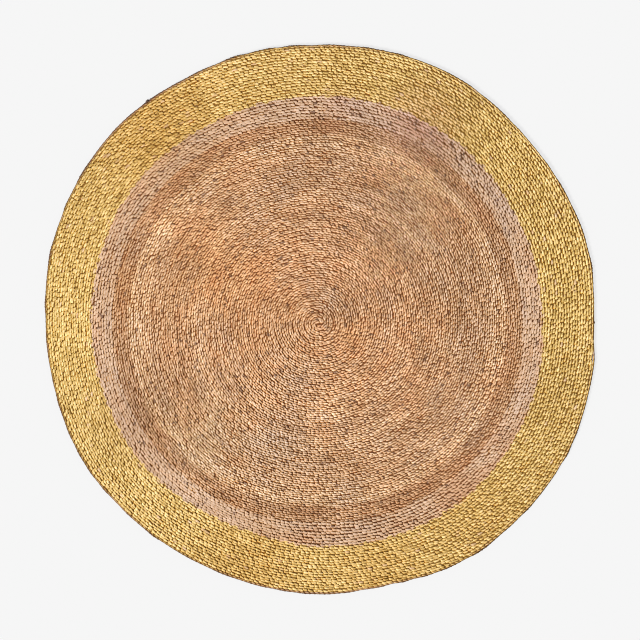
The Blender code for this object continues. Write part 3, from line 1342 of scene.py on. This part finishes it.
class JUTERUG_OT_border(Operator):
    """Coils the gold plait, all but its outermost round"""

    bl_idname = "jute_rug.border"
    bl_label = "Gold Border"

    def execute(self, context):
        rug = context.scene.jute_rug
        gilt = gold_material("gold_jute_fibre", rug.colours, BORDER_GILT, ragged_edge=True)
        pieces = add_plaits(
            "border_plait", (FIELD_ROUNDS + BAND_ROUNDS, ALL_ROUNDS - 1), 2,
            rug.plait.border_spacing, BORDER_ROW, rug.plait.border_relief, gilt, rug.plait,
            rug.plait.seed + 200,
        )
        shaded_ground = make_ground(
            "border_ground", GOLD_START, RUG_RADIUS - BORDER_ROW / 2,
            ground_material("gold_jute_painted_shade", rug.colours.gold_shaded_ground),
        )
        for piece in (shaded_ground, *pieces):
            stand_for(piece, "gold_border")
        return {"FINISHED"}


class JUTERUG_OT_rim(Operator):
    """Plaits the gold border's outermost round, strand by strand, and tucks in its end"""

    bl_idname = "jute_rug.rim"
    bl_label = "Rim"

    def execute(self, context):
        rug = context.scene.jute_rug
        gilt = gold_material("rim_jute_fibre", rug.colours, RIM_GILT, ragged_edge=False)
        lines = make_strands("rim_lines", rug.plait.border_spacing, rug.rim, rug.plait.seed)
        tree = strand_tree()
        run_tree(lines, tree, {
            "Radius": rug.rim.strand_radius,
            "Half Width": BORDER_ROW / 2,
            "Half Height": THICKNESS / 2,
            "Material": gilt,
        })
        plait = plain_mesh(lines, "rim_plait")
        bpy.data.node_groups.remove(tree)
        lay_out_strips(plait.data, (RUG_RADIUS - BORDER_ROW / 2) * tau)
        stand_for(plait, "gold_border")
        return {"FINISHED"}


class JUTERUG_OT_fibres(Operator):
    """Strews loose fibres over the plaits"""

    bl_idname = "jute_rug.fibres"
    bl_label = "Loose Fibres"

    def execute(self, context):
        rug = context.scene.jute_rug
        fibre = make_fibre("fibre", rug.fibres.length, rug.fibres.radius)
        spread = make_ground(
            "fibre_spread", 0.0, RUG_RADIUS - BORDER_ROW, fibre_material("loose_fibre", rug.colours)
        )
        tree = fibre_tree()
        run_tree(spread, tree, {
            "Fibre": fibre,
            "Density": rug.fibres.density,
            "Lift": THICKNESS - GROUND_HIGH,
            "Seed": rug.plait.seed,
            "Material": spread.data.materials[0],
        })
        fibres = plain_mesh(spread, "loose_fibres")
        spread_cells(fibres.data, len(fibre.data.loops))
        discard(fibre)
        bpy.data.node_groups.remove(tree)
        stand_for(fibres, "field_coil")
        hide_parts("plain_band", "gold_border")
        return {"FINISHED"}


class JUTERUG_OT_stage(Operator):
    """Lays the floor and sets the lights and the camera"""

    bl_idname = "jute_rug.stage"
    bl_label = "Stage"

    def execute(self, context):
        scene = context.scene
        stage = scene.jute_rug.stage
        bpy.ops.mesh.primitive_plane_add(size=40.0, location=(0.0, 0.0, -0.0002))
        floor = context.object
        floor.name = "floor"
        material, tree, shader = new_material("pale_floor")
        shader.inputs["Base Color"].default_value = stage.floor
        shader.inputs["Roughness"].default_value = 0.9
        shader.inputs["Specular IOR Level"].default_value = 0.0
        shader.inputs["Emission Color"].default_value = (1.0, 1.0, 1.0, 1.0)
        shader.inputs["Emission Strength"].default_value = stage.floor_glow
        floor.data.materials.append(material)

        world = bpy.data.worlds.new("soft_surround")
        world.use_nodes = True
        world.node_tree.nodes["Background"].inputs["Color"].default_value = (1.0, 1.0, 1.0, 1.0)
        world.node_tree.nodes["Background"].inputs["Strength"].default_value = stage.fill
        scene.world = world

        light = bpy.data.lights.new("key_light", "SUN")
        light.energy = stage.key_strength
        light.angle = stage.key_softness
        key = bpy.data.objects.new("key_light", light)
        key.rotation_euler = (radians(90) - stage.key_height, 0.0, stage.key_side + radians(90))
        scene.collection.objects.link(key)

        lens = bpy.data.cameras.new("camera")
        lens.lens = stage.lens
        camera = bpy.data.objects.new("camera", lens)
        distance = stage.frame_width * stage.lens / lens.sensor_width
        camera.location = (*PICTURE_MIDDLE, THICKNESS + distance)
        scene.collection.objects.link(camera)
        scene.camera = camera
        scene.view_settings.view_transform = "Standard"
        scene.cycles.filter_width = stage.film_softness
        return {"FINISHED"}


class JUTERUG_PT_panel(Panel):
    """Lists the rug's operators in the sidebar"""

    bl_label = "Jute Rug"
    bl_idname = "JUTERUG_PT_panel"
    bl_space_type = "VIEW_3D"
    bl_region_type = "UI"
    bl_category = "Jute Rug"

    def draw(self, context):
        for operator in OPERATORS:
            self.layout.operator(operator.bl_idname)


OPERATORS = (
    JUTERUG_OT_field,
    JUTERUG_OT_band,
    JUTERUG_OT_border,
    JUTERUG_OT_rim,
    JUTERUG_OT_fibres,
    JUTERUG_OT_stage,
)
CLASSES = (
    PlaitSizes,
    RimSizes,
    FibreSizes,
    JuteColours,
    StageSettings,
    RugSettings,
    *OPERATORS,
    JUTERUG_PT_panel,
)


def register():
    for kind in CLASSES:
        bpy.utils.register_class(kind)
    bpy.types.Scene.jute_rug = PointerProperty(type=RugSettings)


def unregister():
    del bpy.types.Scene.jute_rug
    for kind in reversed(CLASSES):
        bpy.utils.unregister_class(kind)


def main():
    register()
    bpy.ops.jute_rug.field()
    bpy.ops.jute_rug.band()
    bpy.ops.jute_rug.border()
    bpy.ops.jute_rug.rim()
    bpy.ops.jute_rug.fibres()
    bpy.ops.jute_rug.stage()


if __name__ == "__main__":
    main()
